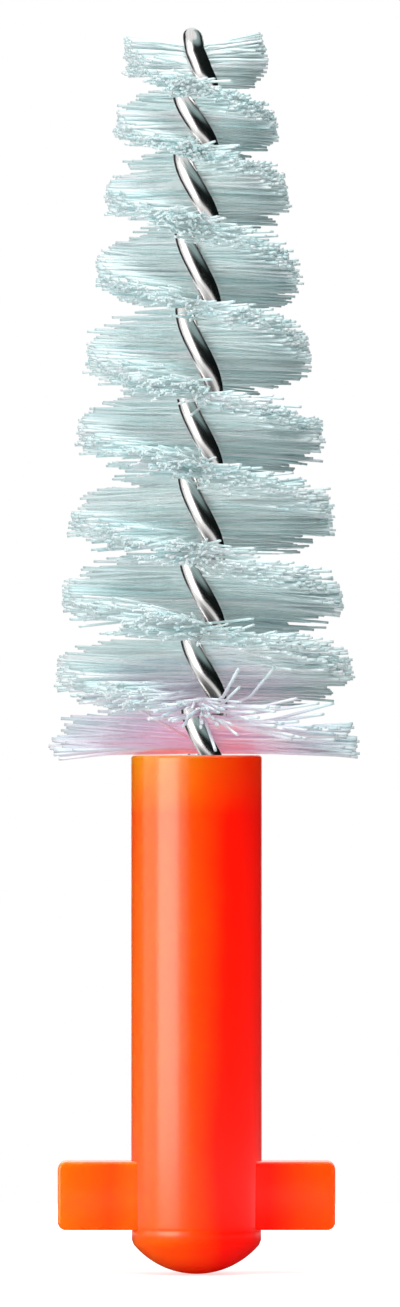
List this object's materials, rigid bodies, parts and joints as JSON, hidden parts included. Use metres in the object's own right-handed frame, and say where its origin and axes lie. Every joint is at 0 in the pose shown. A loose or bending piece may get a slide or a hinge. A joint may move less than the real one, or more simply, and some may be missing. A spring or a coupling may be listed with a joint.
{
  "type": "interdental brush head",
  "caption": "Interdental brush head: a round click-in stub with two wings carries a twisted hairpin wire with a conical spiral of bristles.",
  "frame": {"origin": "on the stub's axis, level with the wings' upper faces, which stop the stub in its holder", "axes": "+Z along the brush towards its tip, +X along the wings to the right in the picture, front facing -Y"},
  "size_m": [0.0049, 0.0048, 0.0201],
  "materials": {
    "stub_plastic": "glossy translucent orange moulding",
    "wire_steel": "bright drawn stainless wire",
    "bristle_nylon": "translucent pale aqua nylon filaments"
  },
  "bodies": {
    "root": {"stub": "stub_plastic", "core_wire": "wire_steel", "bristles_turn_01": "bristle_nylon", "bristles_turn_02": "bristle_nylon", "bristles_turn_03": "bristle_nylon", "bristles_turn_04": "bristle_nylon", "bristles_turn_05": "bristle_nylon", "bristles_turn_06": "bristle_nylon", "bristles_turn_07": "bristle_nylon", "bristles_turn_08": "bristle_nylon", "bristles_turn_09": "bristle_nylon", "bristles_turn_10": "bristle_nylon"}
  },
  "joints": []
}
